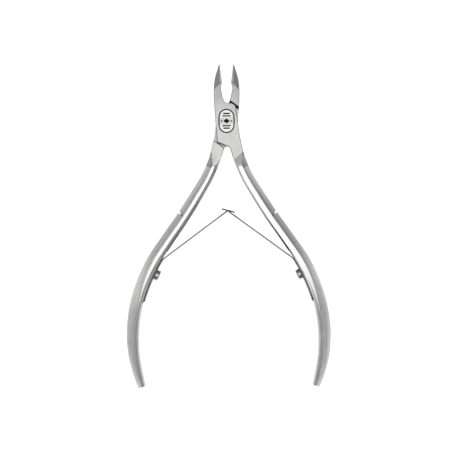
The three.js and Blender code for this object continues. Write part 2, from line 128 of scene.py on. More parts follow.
@dataclass(frozen=True)
class SteelFinish:
    """One way the steel was finished, with a tone that in some of them carries painted light and shade.

    Attributes:
        name: Name of the material.
        tone: Grey of the metal.
        roughness: Roughness between streaks.
        grain: Direction and fineness of the streaks.
        contrast: How much the streaks darken the metal.
        relief: Depth of the scratches.
        warmth: Red less blue in the grey.
        fade: Two heights in the frame, and the share of the tone at the second; on the grip and the springs
            this paints light and shade along the tool.
    """

    name: str
    tone: float
    roughness: float
    grain: Grain
    contrast: float = 0.12
    relief: float = 0.004 * MM
    warmth: float = 0.004
    fade: tuple[float, float, float] | None = None

    def material(self) -> bpy.types.Material:
        """Make the material, or return the one already made.

        Returns:
            The node material for this finish.
        """
        made = bpy.data.materials.get(self.name)
        if made is not None:
            return made
        made = bpy.data.materials.new(self.name)
        made.use_nodes = True
        tree = made.node_tree
        streaks = self._streaks(tree)
        dark, light = self._grey(1 - self.contrast), self._grey(1 + self.contrast / 2)
        ends = {"Factor": streaks, MIX_FROM: dark, MIX_TO: light}
        colour = add_node(tree, "ShaderNodeMix", ends, data_type="RGBA")
        height = {"Strength": 0.6, "Distance": self.relief, "Height": streaks}
        scratches = add_node(tree, "ShaderNodeBump", height)
        surface = {
            "Metallic": 1.0,
            "Base Color": self._faded(tree, colour.outputs[MIX_RESULT]),
            "Roughness": self._smudges(tree),
            "Normal": scratches.outputs["Normal"],
        }
        fill(tree, tree.nodes["Principled BSDF"], surface)
        return made

    def _grey(self, share: float) -> tuple[float, float, float, float]:
        """The metal's colour at a share of its tone."""
        grey = self.tone * share
        return (grey + self.warmth / 2, grey, grey - self.warmth / 2, 1.0)

    def _faded(self, tree: bpy.types.NodeTree, colour: bpy.types.NodeSocket) -> bpy.types.NodeSocket:
        """Change the tone from one height in the frame to another; on the grip and the springs this is
        painted light and shade.

        Args:
            tree: The material's nodes.
            colour: The colour before.

        Returns:
            The colour after.
        """
        if self.fade is None:
            return colour
        start, end, share = self.fade
        here = add_node(tree, "ShaderNodeTexCoord", {}).outputs["Object"]
        height = add_node(tree, "ShaderNodeSeparateXYZ", {"Vector": here}).outputs["Y"]
        span = {"From Min": start, "From Max": end, "To Min": 1.0, "To Max": share, "Value": height}
        level = add_node(tree, "ShaderNodeMapRange", span, interpolation_type="SMOOTHSTEP")
        scaled = {"Vector": colour, "Scale": level.outputs["Result"]}
        return add_node(tree, "ShaderNodeVectorMath", scaled, operation="SCALE").outputs["Vector"]

    def _streaks(self, tree: bpy.types.NodeTree) -> bpy.types.NodeSocket:
        """Noise drawn out along the grain.

        Args:
            tree: The material's nodes.

        Returns:
            A factor from 0 to 1.
        """
        turned, along, across = self.grain.value
        if self.grain is Grain.ALONG_GRIP:
            named = add_node(tree, "ShaderNodeAttribute", {}, attribute_name=GRAIN_ATTRIBUTE)
            here = named.outputs["Vector"]
        else:
            here = add_node(tree, "ShaderNodeTexCoord", {}).outputs["Object"]
        laid = {
            "Vector": here,
            "Rotation": (0.0, 0.0, math.radians(turned)),
            "Scale": (1 / along, 1 / across, 1 / across),
        }
        grain = add_node(tree, "ShaderNodeMapping", laid, vector_type="TEXTURE").outputs["Vector"]
        speckle = {"Vector": grain, "Scale": 1.0, "Detail": 4.0, "Roughness": 0.65}
        noise = add_node(tree, "ShaderNodeTexNoise", speckle).outputs["Fac"]
        spread = {"From Min": 0.3, "From Max": 0.7, "Value": noise}
        return add_node(tree, "ShaderNodeMapRange", spread).outputs["Result"]

    def _smudges(self, tree: bpy.types.NodeTree) -> bpy.types.NodeSocket:
        """Roughness that wanders a little from place to place, as handled steel's does.

        Args:
            tree: The material's nodes.

        Returns:
            The roughness.
        """
        here = add_node(tree, "ShaderNodeTexCoord", {}).outputs["Object"]
        patches = {"Vector": here, "Scale": 220.0, "Detail": 3.0}
        noise = add_node(tree, "ShaderNodeTexNoise", patches).outputs["Fac"]
        spread = {"To Min": self.roughness * 0.8, "To Max": self.roughness * 1.2, "Value": noise}
        return add_node(tree, "ShaderNodeMapRange", spread).outputs["Result"]


LAP_SATIN = SteelFinish("lap_satin", 0.5, 0.34, Grain.DIAGONAL, 0.14, fade=(38 * MM, 48 * MM, 0.74))
LAP_RUNOUT = SteelFinish("lap_runout", 0.29, 0.34, Grain.DIAGONAL, 0.16)
# Painted shade: near black on the head's eased edges, drawing their dark outline.
LAP_EDGE_SHADE = SteelFinish("lap_edge_painted_shade", 0.12, 0.34, Grain.DIAGONAL, 0.2)
LAP_FLOOR = SteelFinish("lap_floor_milled", 0.4, 0.3, Grain.CROSSWISE, 0.14)
# Painted shade: near black for the walls and floor of the deep slit beside the shoulders.
LAP_SLIT_SHADE = SteelFinish("lap_slit_painted_shade", 0.05, 0.6, Grain.CROSSWISE, 0.3)
JAW_SIDE = SteelFinish("jaw_side_satin", 0.42, 0.34, Grain.DIAGONAL, 0.16)
JAW_FACET = SteelFinish("jaw_facet_ground", 0.58, 0.3, Grain.CROSSWISE, 0.3)
EDGE_GROUND = SteelFinish("edge_honed", 0.2, 0.22, Grain.CROSSWISE, 0.1)
# Painted light: the outer flank grows lighter down the grip.
FLANK_BRUSHED = SteelFinish(
    "grip_flank_brushed", 0.57, 0.36, Grain.ALONG_GRIP, 0.3, fade=(-8 * MM, -27 * MM, 1.62)
)
# Lit and shaded copies of the inner flank's brushed finish: the light tone, fading darker down the grip, is
# painted light; the dark copy is painted shade.
INNER_PAINTED_LIT = SteelFinish(
    "grip_inner_brushed_painted_light", 0.78, 0.34, Grain.ALONG_GRIP, 0.28, fade=(-20 * MM, -33 * MM, 0.8)
)
INNER_PAINTED_SHADE = SteelFinish("grip_inner_painted_shade", 0.4, 0.3, Grain.ALONG_GRIP, 0.2)
# Painted highlight: the ridge's bright band fades darker down the grip.
RIDGE_POLISHED = SteelFinish(
    "grip_ridge_polished", 0.62, 0.2, Grain.ALONG_GRIP, 0.1, fade=(-8 * MM, -36 * MM, 0.5)
)
MILLED = SteelFinish("milled_cut", 0.34, 0.32, Grain.CROSSWISE, 0.2)
# Painted shade: dark walls for the nick, where shade falls in the notch.
NICK_CUT_SHADE = SteelFinish("nick_cut_painted_shade", 0.16, 0.3, Grain.CROSSWISE, 0.3)
ENGRAVED = SteelFinish("emblem_engraved", 0.02, 0.7, Grain.TURNED, 0.3)
EMBLEM_FIELD = SteelFinish("emblem_field_bright", 0.56, 0.26, Grain.DIAGONAL, 0.08)
# Painted shade: the leaf grows darker towards the crossing, where the leaves overlap.
SPRING_STRIP = SteelFinish(
    "spring_strip", 0.13, 0.3, Grain.ALONG_STRIP, 0.2, fade=(1.5 * MM, 4.8 * MM, 0.35)
)
SCREW_TURNED = SteelFinish("screw_turned", 0.42, 0.12, Grain.TURNED, 0.2)


# ------------------------------------------------------------------ bench


def clear_selection() -> None:
    """Leave edit mode and deselect everything."""
    leave_edit()
    bpy.ops.object.select_all(action="DESELECT")


def leave_edit() -> None:
    """Go back to object mode."""
    if bpy.context.object is not None and bpy.context.object.mode != "OBJECT":
        bpy.ops.object.mode_set(mode="OBJECT")


def only(obj: Piece) -> None:
    """Leave just this object selected and active, in object mode."""
    clear_selection()
    obj.select_set(True)
    bpy.context.view_layer.objects.active = obj


def edit_all(obj: Piece) -> None:
    """Enter edit mode with the whole mesh selected."""
    only(obj)
    bpy.ops.object.mode_set(mode="EDIT")
    bpy.ops.mesh.select_all(action="SELECT")


def saw_off(obj: Piece, point: Sequence[float], normal: Sequence[float]) -> None:
    """Saw off what lies beyond a plane, and close the cut.

    Args:
        obj: The piece.
        point: A point of the plane.
        normal: Its normal, towards what goes.
    """
    edit_all(obj)
    bpy.ops.mesh.bisect(plane_co=point, plane_no=normal, use_fill=True, clear_outer=True, threshold=TINY)
    leave_edit()


def close_up(obj: Piece, flat: bool = False) -> None:
    """Merge doubles and point the faces outwards.

    Args:
        obj: The piece.
        flat: Whether to dissolve the edges inside flat faces as well.
    """
    edit_all(obj)
    bpy.ops.mesh.remove_doubles(threshold=TINY)
    if flat:
        bpy.ops.mesh.dissolve_limited(angle_limit=math.radians(0.3))
        bpy.ops.mesh.select_all(action="SELECT")
    bpy.ops.mesh.normals_make_consistent(inside=False)
    leave_edit()


def turn(angle: float, axis: str, centre: Vector) -> None:
    """Turn what is selected in edit mode.

    Args:
        angle: Angle in radians, by the right-hand rule.
        axis: Letter of the axis.
        centre: Point that stays in place.
    """
    bpy.ops.transform.rotate(value=-angle, orient_axis=axis, center_override=centre)


def with_modifier(obj: Piece, kind: str, **settings: object) -> None:
    """Add a modifier and apply it.

    Args:
        obj: The piece.
        kind: The modifier's type.
        **settings: Its settings.
    """
    only(obj)
    modifier = obj.modifiers.new(kind.lower(), kind)
    for name, value in settings.items():
        setattr(modifier, name, value)
    bpy.ops.object.modifier_apply(modifier=modifier.name)


def ease_edges(obj: Piece, width: float, angle: float = 30.0, segments: int = 2) -> None:
    """Break the sharp edges and shade smoothly between the rest.

    Args:
        obj: The piece.
        width: Width of the bevel.
        angle: Edges sharper than this are broken, in degrees.
        segments: Steps across the bevel.
    """
    sharp = {"limit_method": "ANGLE", "angle_limit": math.radians(angle)}
    with_modifier(
        obj, "BEVEL", width=width, segments=segments, use_clamp_overlap=True, miter_outer="MITER_ARC", **sharp
    )
    shade(obj)


def shade(obj: Piece, angle: float = 28.0) -> None:
    """Shade smoothly except across edges sharper than an angle in degrees."""
    only(obj)
    bpy.ops.object.shade_smooth_by_angle(angle=math.radians(angle))


def carve(obj: Piece, cutter: Piece, finish: SteelFinish | None = None) -> None:
    """Cut one piece out of another.

    Args:
        obj: The piece that stays.
        cutter: The shape that is cut out of it and then thrown away.
        finish: Finish of the cut, or none to keep the piece's own.
    """
    if finish is not None:
        cutter.data.materials.clear()
        cutter.data.materials.append(finish.material())
    combine(obj, cutter, "DIFFERENCE")


def combine(obj: Piece, other: Piece, operation: str) -> None:
    """Combine two solids into the first.

    Args:
        obj: The piece that stays.
        other: The solid that is used up.
        operation: UNION, DIFFERENCE or INTERSECT.
    """
    with_modifier(
        obj, "BOOLEAN", object=other, operation=operation, solver="EXACT", material_mode="TRANSFER"
    )
    bpy.data.objects.remove(other)


def plate(
    name: str,
    outlines: Sequence[Outline],
    low: float,
    high: float,
    steps: int = 6,
    eased: float = 0.0,
) -> Piece:
    """A flat plate drawn as curves and given a thickness.

    Args:
        name: Name of the piece.
        outlines: Closed outlines. One inside another is a hole.
        low: Height of the underside.
        high: Height of the top.
        steps: Steps between two points of a curved stretch.
        eased: Rounding of the edges of the top and the underside.

    Returns:
        The plate as a mesh.
    """
    clear_selection()
    bpy.ops.curve.primitive_bezier_curve_add(location=(0, 0, 0))
    drawn = bpy.context.object
    drawn.name = name
    curve = drawn.data
    curve.dimensions = "2D"
    curve.fill_mode = "BOTH"
    curve.resolution_u = steps
    curve.splines.clear()
    for outline in outlines:
        spline = curve.splines.new("BEZIER")
        spline.bezier_points.add(len(outline) - 1)
        for point, (x, y, kind) in zip(spline.bezier_points, outline):
            point.co = (x, y, 0)
            point.handle_left_type = point.handle_right_type = kind
        spline.use_cyclic_u = True
    curve.extrude = (high - low) / 2 - eased
    curve.bevel_depth = eased
    curve.bevel_resolution = 1
    curve.offset = -eased
    only(drawn)
    bpy.ops.object.convert(target="MESH")
    solid = bpy.context.object
    solid.name = name
    close_up(solid, flat=eased == 0)
    edit_all(solid)
    bpy.ops.transform.translate(value=(0, 0, (high + low) / 2))
    leave_edit()
    return solid


def block(name: str, size: Sequence[float], centre: Sequence[float], turned: float = 0.0) -> Piece:
    """A box, turned about +Z through the pivot after it is in place.

    Args:
        name: Name of the box.
        size: Its length, width and height.
        centre: Its centre.
        turned: Angle in degrees.

    Returns:
        The box.
    """
    clear_selection()
    bpy.ops.mesh.primitive_cube_add(size=1, location=centre, scale=size)
    box = bpy.context.object
    box.name = name
    bpy.ops.object.transform_apply(location=True, rotation=True, scale=True)
    edit_all(box)
    turn(math.radians(turned), "Z", ORIGIN)
    leave_edit()
    return box


def lathe(name: str, profile: Sequence[Point], steps: int = 48) -> Piece:
    """A turned piece about +Z.

    Args:
        name: Name of the piece.
        profile: Radius and height pairs from the axis, round the outside, back to the axis.
        steps: Steps round the axis.

    Returns:
        The closed piece.
    """
    clear_selection()
    bpy.ops.mesh.primitive_plane_add(size=MM)
    piece = bpy.context.object
    piece.name = name
    edit_all(piece)
    bpy.ops.mesh.merge(type="CENTER")
    bpy.ops.transform.translate(value=(profile[0][0], 0, profile[0][1]))
    for (r0, z0), (r1, z1) in zip(profile, profile[1:]):
        bpy.ops.mesh.extrude_region_move(TRANSFORM_OT_translate={"value": (r1 - r0, 0, z1 - z0)})
    bpy.ops.mesh.select_all(action="SELECT")
    bpy.ops.mesh.spin(steps=steps, angle=math.tau, center=(0, 0, 0), axis=(0, 0, 1))
    close_up(piece)
    return piece


def put(obj: Piece, matrix: Matrix) -> Piece:
    """Carry a mesh to its place with its object left at the origin.

    Args:
        obj: The piece.
        matrix: Where it goes.

    Returns:
        The same piece.
    """
    only(obj)
    obj.matrix_world = matrix
    bpy.ops.object.transform_apply(location=True, rotation=True, scale=True)
    return obj


def copy_of(obj: Piece, name: str) -> Piece:
    """Copy a finished piece, with a mesh of its own.

    Args:
        obj: The piece.
        name: Name of the copy.

    Returns:
        The copy, in the same place.
    """
    only(obj)
    bpy.ops.object.duplicate(linked=False)
    twin = bpy.context.object
    twin.name = name
    return twin


def flat(point: Vector) -> Vector:
    """The point on the mid-plane."""
    return Vector((point[0], point[1], 0.0))


def direction(degrees: float) -> Vector:
    """Unit vector in the mid-plane at an angle from +X."""
    angle = math.radians(degrees)
    return Vector((math.cos(angle), math.sin(angle), 0.0))


TURN_OVER = Matrix.Rotation(math.pi, 4, "Y")  # carries a front piece to the back


# ------------------------------------------------------------------ handle line


@dataclass(frozen=True)
class Place:
    """A place on the right handle.

    Attributes:
        centre: Point on the centreline.
        outward: Direction away from the tool's axis, across the handle.
        half_width: Half the handle's width there.
        half_thickness: Half its thickness.
    """

    centre: Vector
    outward: Vector
    half_width: float
    half_thickness: float

    def beside(self, distance: float) -> Vector:
        """Point this far inwards of the handle's inner face."""
        return self.centre - self.outward * (self.half_width + distance)


@dataclass(frozen=True)
class HandleLine:
    """Centreline and sizes of the right handle.

    Attributes:
        stations: Centre x, centre y, width and thickness, in millimetres, from the joint to the end.
        flare_from: Height on the tool where the flare into the joint is full.
        flare_end: Height where it is gone.
        flare_height: Thickness that it adds.
        thickest: Thickness that the grip never exceeds.
    """

    stations: tuple[tuple[float, float, float, float], ...] = (
        (2.7, -6.8, 3.9, 6.1),
        (3.8, -11.2, 4.0, 6.1),
        (6.45, -18.0, 4.15, 6.0),
        (10.8, -25.5, 4.42, 5.8),
        (15.6, -33.0, 4.6, 5.7),
        (20.85, -40.5, 4.65, 5.8),
        (25.9, -48.0, 4.8, 6.1),
        (29.95, -56.4, 4.7, 6.4),
        (32.45, -64.6, 4.5, 6.4),
        (33.5, -73.0, 4.36, 6.2),
        (33.15, -81.3, 3.95, 5.6),
        (31.65, -88.5, 3.3, 4.9),
        (30.5, -92.1, 2.7, 4.3),
    )
    flare_from: float = -10.7 * MM
    flare_end: float = -15.6 * MM
    flare_height: float = 14 * MM
    thickest: float = 6.38 * MM

    @staticmethod
    def _through(points: Sequence[Vector], t: float) -> Vector:
        """Point of the centripetal Catmull-Rom curve through points.

        Args:
            points: Points of the curve.
            t: Share of the points passed, from 0 to 1.

        Returns:
            The point.
        """
        last = len(points) - 1
        i = min(int(last * t), last - 1)
        w = last * t - i
        p1, p2 = points[i], points[i + 1]
        p0 = points[i - 1] if i > 0 else 2 * p1 - p2
        p3 = points[i + 2] if i + 2 <= last else 2 * p2 - p1
        d0, d1, d2 = (math.sqrt((b - a).length) for a, b in ((p0, p1), (p1, p2), (p2, p3)))
        least = 1e-4  # two points closer than this are one
        d1 = d1 if d1 > least else 1.0
        d0, d2 = (d if d > least else d1 for d in (d0, d2))
        t1 = ((p1 - p0) / d0 - (p2 - p0) / (d0 + d1) + (p2 - p1) / d1) * d1
        t2 = ((p2 - p1) / d1 - (p3 - p1) / (d1 + d2) + (p3 - p2) / d2) * d1
        a = 2 * p1 - 2 * p2 + t1 + t2
        b = -3 * p1 + 3 * p2 - 2 * t1 - t2
        return p1 + t1 * w + b * w**2 + a * w**3

    def centre(self, t: float) -> Vector:
        """Point of the centreline."""
        return self._through([Vector((x, y, 0.0)) for x, y, _, _ in self.stations], t) * MM

    def at(self, t: float) -> Place:
        """Centre, outward direction and sizes at a share of the centreline.

        Args:
            t: Share of the stations passed, from 0 at the joint to 1 at the end.

        Returns:
            The place.
        """
        centre = self.centre(t)
        step = 1e-4
        along = (self.centre(min(t + step, 1.0)) - self.centre(max(t - step, 0.0))).normalized()
        width, thickness, _ = self._through([Vector((w, h, 0.0)) for _, _, w, h in self.stations], t) * MM
        thickness = min(thickness, self.thickest)
        flared = (centre.y - self.flare_end) / (self.flare_from - self.flare_end)
        thickness += self.flare_height * min(max(flared, 0.0), 1.0) ** 2
        return Place(centre, Vector((-along.y, along.x, 0.0)), width / 2, thickness / 2)

    def row(self, start: float, end: float, distance: float, count: int = 9) -> list[Vector]:
        """Points beside the inner face, from one share of the centreline to another.

        Args:
            start: First share.
            end: Last share.
            distance: Distance inwards of the face.
            count: How many points.

        Returns:
            The points.
        """
        shares = (start + (end - start) * i / (count - 1) for i in range(count))
        return [self.at(t).beside(distance) for t in shares]


LINE = HandleLine()


# ------------------------------------------------------------------ shared fits


@dataclass(frozen=True)
class Fits:
    """Sizes that several pieces share.

    Attributes:
        thickness: Thickness of the joint.
        lap_gap: Left between the two laps.
        open_angle: Angle between the cutting edges when open, in degrees.
        lap_angle: Direction across the channel of the laps, in degrees.
        lap_up, lap_down: Reach of the channel from the pivot, up and down the tool.
        leaf: Thickness of a spring leaf.
        seat_depth: Depth of the seat in the handle.
        seat_gap: Left between the seat and the foot.
        bend, screw, foot_end: Shares of the handle's line at the bend, the screw and the foot's end.
        seat_above, seat_below: Shares by which the seat is longer than the foot.
        crossing: Height on the tool where the leaves cross.
        spring_shank, spring_shank_depth: Radius of the spring screw's shank, and its depth in the grip.
        pivot_shank, pivot_thread, pivot_head: Radii of the pivot screw.
        pivot_cone, pivot_land: Heights of its countersink and of the rim under it.
        pivot_cover: Steel left over its blind end.
        clearance: Left round every screw.
    """

    thickness: float = 6.4 * MM
    lap_gap: float = 0.1 * MM
    open_angle: float = 13.0
    lap_angle: float = 53.5
    lap_up: float = 6.75 * MM
    lap_down: float = 8.15 * MM
    leaf: float = 0.45 * MM
    seat_depth: float = 0.15 * MM
    seat_gap: float = 0.05 * MM
    bend: float = 0.482
    screw: float = 0.538
    foot_end: float = 0.639
    seat_above: float = 0.03
    seat_below: float = 0.006
    crossing: float = -30.9 * MM
    spring_shank: float = 0.9 * MM
    spring_shank_depth: float = 2.4 * MM
    pivot_shank: float = 1.5 * MM
    pivot_thread: float = 1.2 * MM
    pivot_head: float = 2.4 * MM
    pivot_cone: float = 0.9 * MM
    pivot_land: float = 0.2 * MM
    pivot_cover: float = 0.8 * MM
    clearance: float = 0.05 * MM

    def screw_matrix(self) -> Matrix:
        """Frame of the right spring's screw, its head on +Z, under the head."""
        place = LINE.at(self.screw)
        under = place.beside(self.seat_gap + self.leaf + self.clearance - self.seat_depth)
        turned = (-place.outward).to_track_quat("Z", "Y").to_matrix().to_4x4()
        return Matrix.Translation(under) @ turned

    def foot_offset(self) -> float:
        """Distance of the leaf's middle inwards of the handle's inner face."""
        return self.seat_gap + self.leaf / 2 - self.seat_depth

    def pivot_profile(self, grow: float, head_top: float) -> list[Point]:
        """Profile of the pivot screw, head at the tool's back.

        Args:
            grow: Clearance added all over.
            head_top: Height of the head's flat top.

        Returns:
            Radius and height pairs.
        """
        back, front = -self.thickness / 2, self.thickness / 2
        cone = back + self.pivot_land + self.pivot_cone
        end = front - self.pivot_cover
        return [
            (0, head_top),
            (self.pivot_head + grow, head_top),
            (self.pivot_head + grow, back + self.pivot_land + grow),
            (self.pivot_shank + grow, cone + grow),
            (self.pivot_shank + grow, self.lap_gap / 2 + grow),
            (self.pivot_thread + grow, self.lap_gap / 2 + grow),
            (self.pivot_thread + grow, end + grow),
            (0, end + grow),
        ]


FITS = Fits()


# ------------------------------------------------------------------ the halves


@dataclass
class GripBar:
    """The eight-sided bar of the right handle.

    Attributes:
        flat_end: Share of the half width at which the upper grip's flat ends on the inner side.
        flat_start: Share at which it starts on the outer side.
        crease: Shares at which the ridge's outer and inner corners lie on the lower grip.
        ridge_narrows: Height on the tool where the ridge starts to narrow.
        ridge_creased: Height where it is only a crease.
        steps: Steps from the joint to the end.
        end_steps: Share of the size left, and distance on, for each step that rounds the end.
        eased: Width of the broken edges.
        near: Distance within which a vertex counts as one of the ridge's corners.
    """

    flat_end: float = -0.5
    flat_start: float = 0.04
    crease: Point = (-0.32, -0.5)
    ridge_narrows: float = -50 * MM
    ridge_creased: float = -68 * MM
    steps: int = 84
    end_steps: tuple[Point, ...] = ((0.9, 0.22 * MM), (0.68, 0.14 * MM))
    eased: float = 0.16 * MM
    near: float = 0.02 * MM

    def section(self) -> list[Point]:
        """Corners as shares of half the width, outer side positive, and of half the thickness."""
        start, end = self.flat_start, self.flat_end
        upper = [(1, 0.32), (start, 1), (end, 1), (-1, 0.62)]
        return [(1, -0.32), *upper, *((a, -u) for a, u in reversed(upper[1:]))]

    def build(self) -> Piece:
        """Extrude the section along the handle's line.

        Returns:
            The bar.
        """
        first = LINE.at(0)
        clear_selection()
        corners = self.section()
        bpy.ops.mesh.primitive_circle_add(vertices=len(corners), radius=MM, fill_type="NGON")
        bar = bpy.context.object
        bar.name = "grip_bar"
        for vertex, (across, up) in zip(bar.data.vertices, corners):
            vertex.co = first.centre + first.outward * across * first.half_width
            vertex.co.z = up * first.half_thickness
        edit_all(bar)
        before = first
        for step in range(1, self.steps + 1):
            here = LINE.at(step / self.steps)
            self._advance(before, here)
            before = here
        self._round_end(before)
        close_up(bar)
        for corner, crease in zip((self.flat_start, self.flat_end), self.crease):
            self._narrow_ridge(bar, corner, crease)
        self._grind_flush(bar)
        sharp = {"limit_method": "ANGLE", "angle_limit": math.radians(16)}
        with_modifier(bar, "BEVEL", width=self.eased, segments=3, use_clamp_overlap=False, **sharp)
        return bar

    @staticmethod
    def _advance(before: Place, here: Place) -> None:
        """Extrude the end face from one place to the next.

        Args:
            before: Place of the end face.
            here: Place it goes to.
        """
        bpy.ops.mesh.extrude_region_move(TRANSFORM_OT_translate={"value": here.centre - before.centre})
        swing = math.atan2(here.outward.y, here.outward.x) - math.atan2(before.outward.y, before.outward.x)
        turn(swing, "Z", here.centre)
        wider = here.half_width / before.half_width
        thicker = here.half_thickness / before.half_thickness
        bpy.ops.transform.resize(value=(wider, wider, thicker), center_override=here.centre)

    def _round_end(self, last: Place) -> None:
        """Close the end with two smaller steps.

        Args:
            last: Place of the end face.
        """
        along = Vector((last.outward.y, -last.outward.x, 0.0))
        centre = last.centre
        size = 1.0
        for share, distance in self.end_steps:
            bpy.ops.mesh.extrude_region_move(TRANSFORM_OT_translate={"value": along * distance})
            centre = centre + along * distance
            bpy.ops.transform.resize(value=(share / size,) * 3, center_override=centre)
            size = share

    @staticmethod
    def _grind_flush(bar: Piece) -> None:
        """Grind the flare flush with the joint's faces.

        Args:
            bar: The bar.
        """
        half = FITS.thickness / 2
        for side in (1, -1):
            saw_off(bar, (0, 0, side * half), (0, 0, side))

    def _narrow_ridge(self, bar: Piece, corner: float, crease: float) -> None:
        """Draw one pair of the ridge's corners to the crease on the lower grip.

        Args:
            bar: The bar.
            corner: Share of the half width at which they lie.
            crease: Share to which they move.
        """
        for step in range(self.steps + 1):
            place = LINE.at(step / self.steps)
            y = place.centre.y
            if y > self.ridge_narrows:
                continue
            share = min(1.0, (self.ridge_narrows - y) / (self.ridge_narrows - self.ridge_creased))
            share = share * share * (3 - 2 * share)
            move = place.outward * (crease - corner) * share * place.half_width
            drawn = place.centre + place.outward * corner * place.half_width
            for vertex in bar.data.vertices:
                if (flat(vertex.co) - drawn).length < self.near:
                    vertex.co += move


@dataclass
class Head:
    """Left jaw, front lap and root of the right handle, as one plate with ground facets.

    Attributes:
        tip_y: The point, from the pivot.
        heel_y: Rear end of the cutting edge.
        half_width: Half the width at the root of the jaws.
        tip_width: Width of the blunt point.
        tip_half_thickness: Half the thickness at the point.
        facet_drop: How much lower the facet starts at the jaw's outer side.
        setback: How far the top of the inner face lies behind the cutting edge.
        edge_clearance: Left between the edges when they close.
        eased: Rounding of the plate's edges.
        left_side: Points down the jaw's outer side and the lap's free side, in millimetres.
        bottom: Points along the lap's lower edge to the crotch.
        right_side: Points up the side of the lap above the handle.
        top: Points round the crotch and up the relief behind the heel.
        lap_corner: Lower corner of the lap's free side.
        handle_join: Two corners inside the handle, where the plate ends.
        shoulder: Points along the shoulder.
    """

    tip_y: float = 20.3 * MM
    heel_y: float = 13.9 * MM
    half_width: float = 4.45 * MM
    tip_width: float = 0.35 * MM
    tip_half_thickness: float = 0.45 * MM
    facet_drop: float = 2.9 * MM
    setback: float = 0.95 * MM
    edge_clearance: float = 0.02 * MM
    eased: float = 0.18 * MM
    left_side: tuple[Point, ...] = (
        (-3.3, 18), (-4.05, 15.2), (-4.45, 12), (-4.45, 9), (-4.3, 5.5), (-4.05, 2.4), (-3.95, 0),
        (-3.72, -2.6), (-3.5, -4.9),
    )  # fmt: skip
    bottom: tuple[Point, ...] = (
        (-3, -7.25), (-2, -7.6), (-1, -8.05), (-0.2, -8.4), (0.5, -8.6), (1.05, -9.1), (1.4, -10),
    )  # fmt: skip
    right_side: tuple[Point, ...] = (
        (5.3, -9), (4.85, -7), (4.42, -4.7), (4.1, -2.6), (3.85, -0.6), (3.55, 1.6), (3.25, 3.6),
    )  # fmt: skip
    top: tuple[Point, ...] = (
        (2.1, 6.28), (1.5, 6.5), (0.8, 6.5), (0, 6.5), (-0.7, 6.9), (-1.2, 7.8), (-1.6, 9.3),
        (-1.9, 11), (-1.98, 12.3), (-1.8, 13.3),
    )  # fmt: skip
    lap_corner: Point = (-3.35, -7)
    handle_join: tuple[Point, Point] = ((2.3, -11.0), (5.8, -10.9))
    shoulder: tuple[Point, Point] = ((3, 5.5), (2.85, 5.75))

    def edge_x(self, y: float) -> float:
        """Distance of the cutting edge from the tool's axis at a height on the tool."""
        return y * math.tan(math.radians(FITS.open_angle / 2)) + self.edge_clearance

    @staticmethod
    def _curved(row: Sequence[Point]) -> Outline:
        """Points of a curved stretch, from a row in millimetres."""
        return [(x * MM, y * MM, "AUTO") for x, y in row]

    @staticmethod
    def _corners(*row: Point) -> Outline:
        """Sharp corners, from points in millimetres."""
        return [(x * MM, y * MM, "VECTOR") for x, y in row]

    def outline(self) -> Outline:
        """Points round the head, with their kinds.

        Returns:
            x, y and kind of each point.
        """
        tip, heel = self.edge_x(self.tip_y), self.edge_x(self.heel_y)
        points = [(-tip, self.tip_y, "VECTOR"), (-tip - self.tip_width, self.tip_y - 0.25 * MM, "VECTOR")]
        points += self._curved(self.left_side) + self._corners(self.lap_corner)
        points += self._curved(self.bottom) + self._corners(*self.handle_join)
        points += self._curved((*self.right_side, *self.shoulder, *self.top))
        points += [(-heel, self.heel_y, "VECTOR")]
        return points

    def build(self) -> Piece:
        """Draw the plate and grind the jaw's facets.

        Returns:
            The head.
        """
        half = FITS.thickness / 2
        head = plate("head", [self.outline()], -half, half, eased=self.eased)
        for side in (1, -1):
            self._grind_facet(head, side)
        for side in (1, -1):
            self._grind_inner(head, side)
        close_up(head)
        return head

    def _grind_facet(self, head: Piece, side: int) -> None:
        """Cut the long facet that thins the jaw towards its point.

        Args:
            head: The head.
            side: 1 for the front, -1 for the back.
        """
        half = FITS.thickness / 2
        inner = Vector((-self.edge_x(self.heel_y), self.heel_y, side * half))
        outer = Vector((-self.half_width, self.heel_y - self.facet_drop, side * half))
        tip = Vector((-self.edge_x(self.tip_y), self.tip_y, side * self.tip_half_thickness))
        normal = (outer - inner).cross(tip - inner).normalized()
        normal *= math.copysign(1.0, normal.z) * side
        saw_off(head, inner, normal)

    def _grind_inner(self, head: Piece, side: int) -> None:
        """Lean the jaw's inner face back from the cutting edge.

        Args:
            head: The head.
            side: 1 for the front, -1 for the back.
        """
        half = FITS.thickness / 2
        lean = math.atan2(self.setback, half)
        wedge = block("inner_wedge", (4 * MM, 12 * MM, 8 * MM), (2 * MM, 0, side * 4 * MM))
        edit_all(wedge)
        turn(-side * lean, "Y", ORIGIN)
        turn(math.radians(FITS.open_angle / 2), "Z", ORIGIN)
        bpy.ops.transform.translate(value=(-self.edge_x(self.heel_y), self.heel_y, 0))
        saw_off(wedge, (0, self.heel_y, 0), (0, -1, 0))
        carve(head, wedge)


